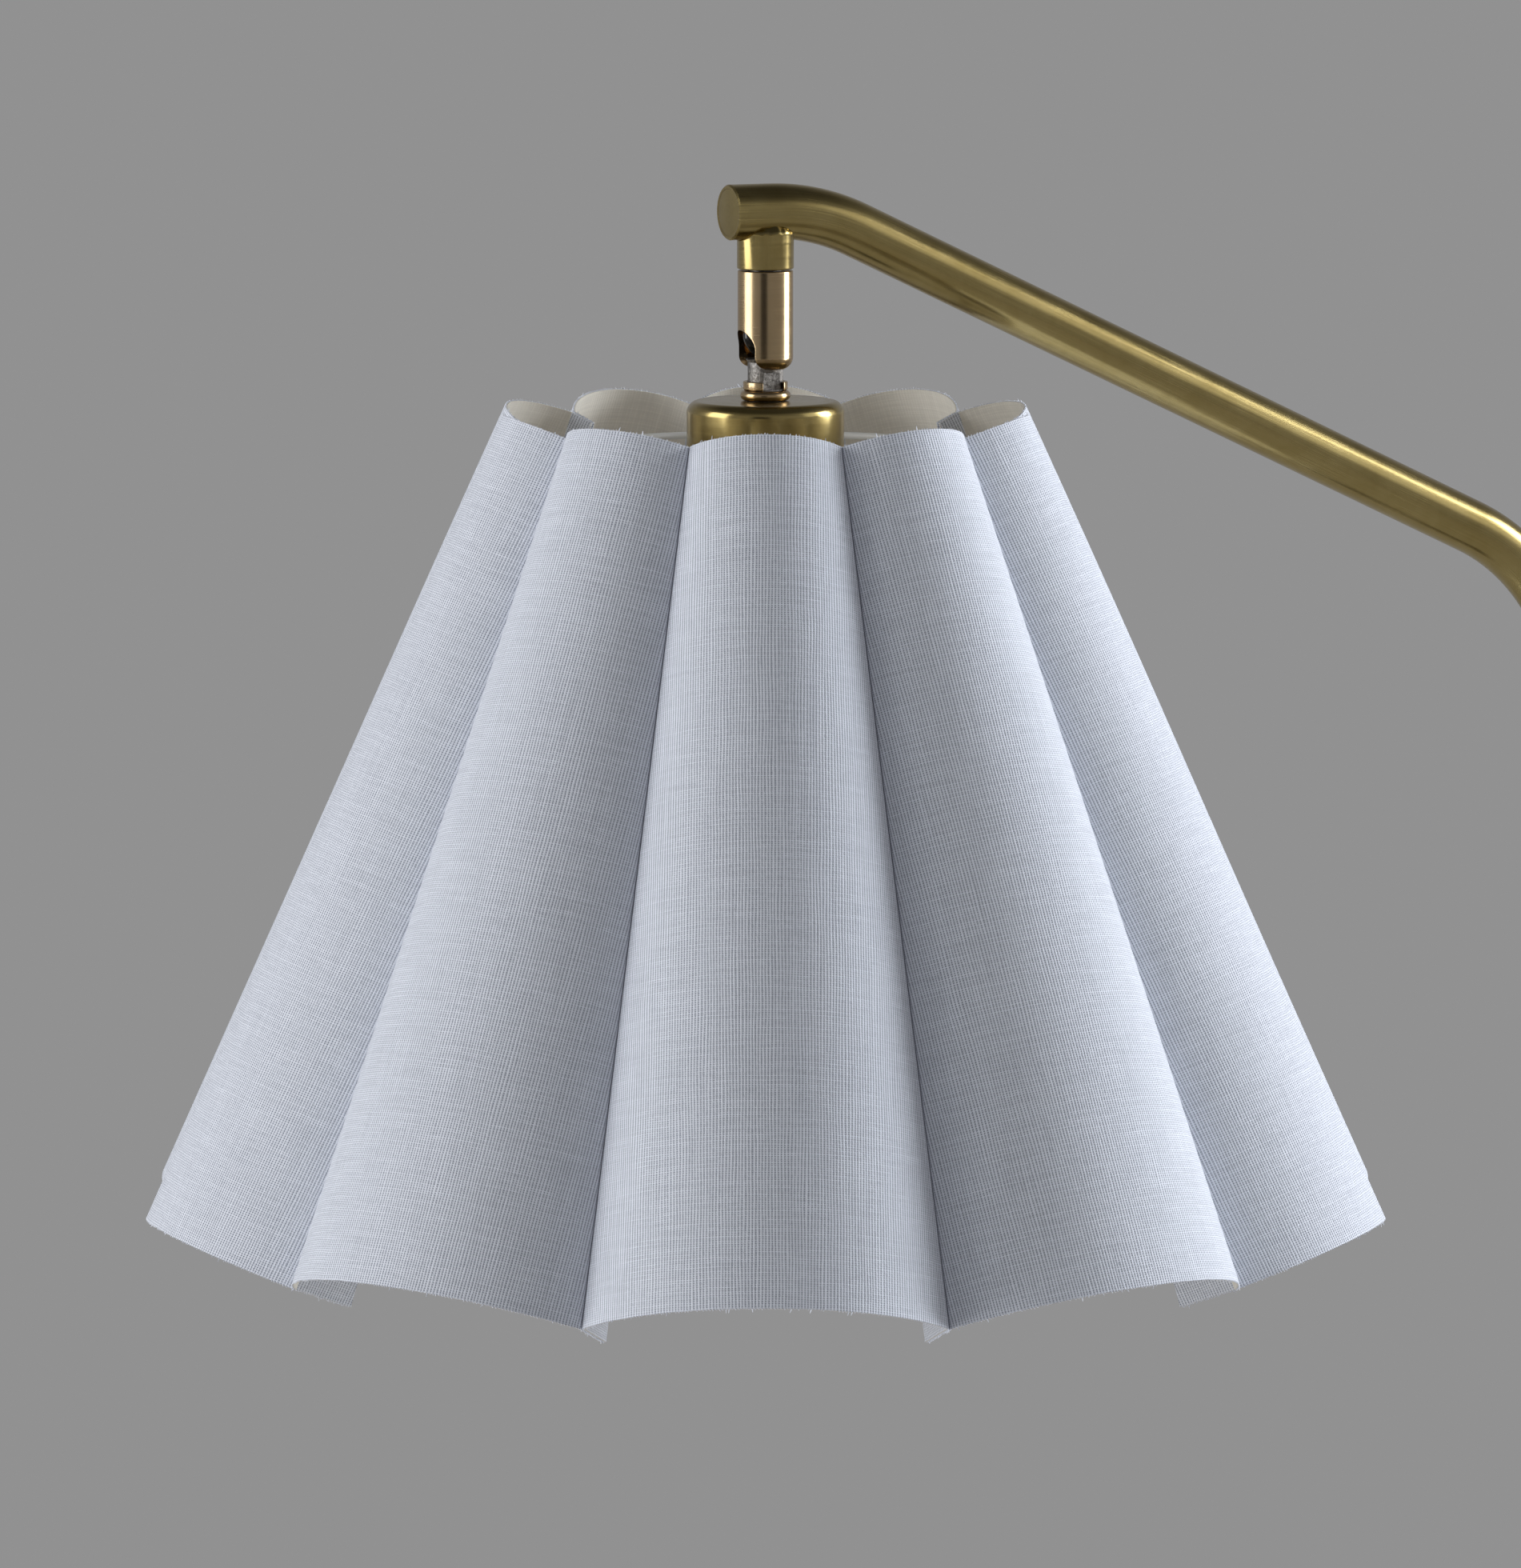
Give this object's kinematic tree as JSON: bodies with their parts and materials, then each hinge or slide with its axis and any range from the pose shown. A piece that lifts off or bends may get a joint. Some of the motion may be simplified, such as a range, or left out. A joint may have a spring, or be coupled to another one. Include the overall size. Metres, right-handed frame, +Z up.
{
  "type": "arc floor lamp",
  "caption": "Floor lamp: round weighted base, pole bent over into a short sloping arm, hang-straight swivel and a fluted fabric shade with scalloped edges.",
  "frame": {"origin": "centre of the base's underside, on the floor", "axes": "+Z up the pole; the arm and the shade point to -X"},
  "size_m": [0.5829, 0.3622, 1.524],
  "materials": {
    "brass": "satin antique brass, brushed and lacquered",
    "swivel_brass": "brushed brass, slightly pinker than the tube",
    "steel": "cast and turned steel, zinc plated",
    "iron": "rough casting, black primer",
    "felt": "dense black felt",
    "black_plastic": "moulded black plastic and lead insulation",
    "lead_black": "glossy black lead insulation",
    "white_wire": "white painted wire",
    "bulb_plastic": "white moulded bulb housing",
    "bulb_diffuser": "frosted white diffuser",
    "linen": "white plain-weave fabric laminated on a cream liner"
  },
  "bodies": {
    "stand": {"base_pad": "felt", "base_weight": "iron", "base_cover": "brass", "cord_bushing": "black_plastic", "base_washer": "steel", "base_nut": "steel", "base_nipple": "steel", "pole_foot_insert": "steel", "base_collar": "brass", "pole_lower": "brass", "pole_middle": "brass", "pole_stud_lower": "steel", "pole_stud_upper": "steel", "arm_tube": "brass", "arm_end_cap": "brass", "arm_boss": "brass", "swivel_nipple": "steel", "arm_lead": "lead_black"},
    "swivel": {"swivel_barrel": "swivel_brass", "swivel_lead": "lead_black"},
    "head": {"swivel_stem": "steel", "swivel_lock_nut": "swivel_brass", "swivel_bead": "swivel_brass", "head_lead": "lead_black", "socket_cap": "brass", "cap_nut": "steel", "socket_body": "black_plastic", "screw_shell": "brass", "centre_contact": "brass", "bulb_base": "steel", "bulb_housing": "bulb_plastic", "bulb_globe": "bulb_diffuser", "shade_panel_01": "linen", "shade_panel_02": "linen", "shade_panel_03": "linen", "shade_panel_04": "linen", "shade_panel_05": "linen", "shade_panel_06": "linen", "shade_panel_07": "linen", "shade_panel_08": "linen", "shade_panel_09": "linen", "shade_panel_10": "linen", "shade_wire_ring": "white_wire", "fitter_ring": "white_wire", "shade_spoke_1": "white_wire", "shade_spoke_2": "white_wire", "shade_spoke_3": "white_wire", "retaining_ring": "black_plastic"},
    "knob": {"switch_knob": "black_plastic"}
  },
  "joints": [
    {"name": "swivel_turn", "type": "hinge", "parent": "stand", "child": "swivel", "pos_m": [-0.27, 0, 1.496], "axis": [0, 0, 1], "range_deg": [-90, 90]},
    {"name": "head_tilt", "type": "hinge", "parent": "swivel", "child": "head", "pos_m": [-0.27, 0, 1.4766], "axis": [0, 1, 0], "range_deg": [0, 90], "deforming": ["swivel_lead"]},
    {"name": "switch_knob_turn", "type": "hinge", "parent": "head", "child": "knob", "pos_m": [-0.24, 0, 1.434], "axis": [1, 0, 0], "continuous": true}
  ]
}
